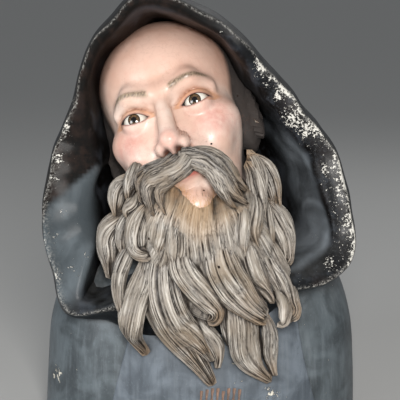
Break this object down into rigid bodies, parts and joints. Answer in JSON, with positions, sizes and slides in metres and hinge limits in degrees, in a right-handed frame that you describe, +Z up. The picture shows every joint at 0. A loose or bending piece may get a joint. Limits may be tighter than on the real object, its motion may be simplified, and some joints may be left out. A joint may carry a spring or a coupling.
{
  "type": "hooded saint bust",
  "caption": "Life-size carved and painted bust of a bearded saint looking up from inside a deep hood, cut flat below the shoulders, with inset glossy eyes.",
  "frame": {"origin": "middle of the flat underside, at the height the bust rests on", "axes": "+Z up, -Y to the front where the hood opens, +X to the viewer's right"},
  "size_m": [0.326, 0.2727, 0.4438],
  "materials": {
    "painted_wood": "oil-painted carved wood: flesh, taupe beard, blue-black hood, slate habit, worn to white ground at the edges",
    "eye_glass": "glossy, painted behind"
  },
  "bodies": {
    "root": {"saint_bust": "painted_wood", "eye_left": "eye_glass", "eye_right": "eye_glass"}
  },
  "joints": []
}
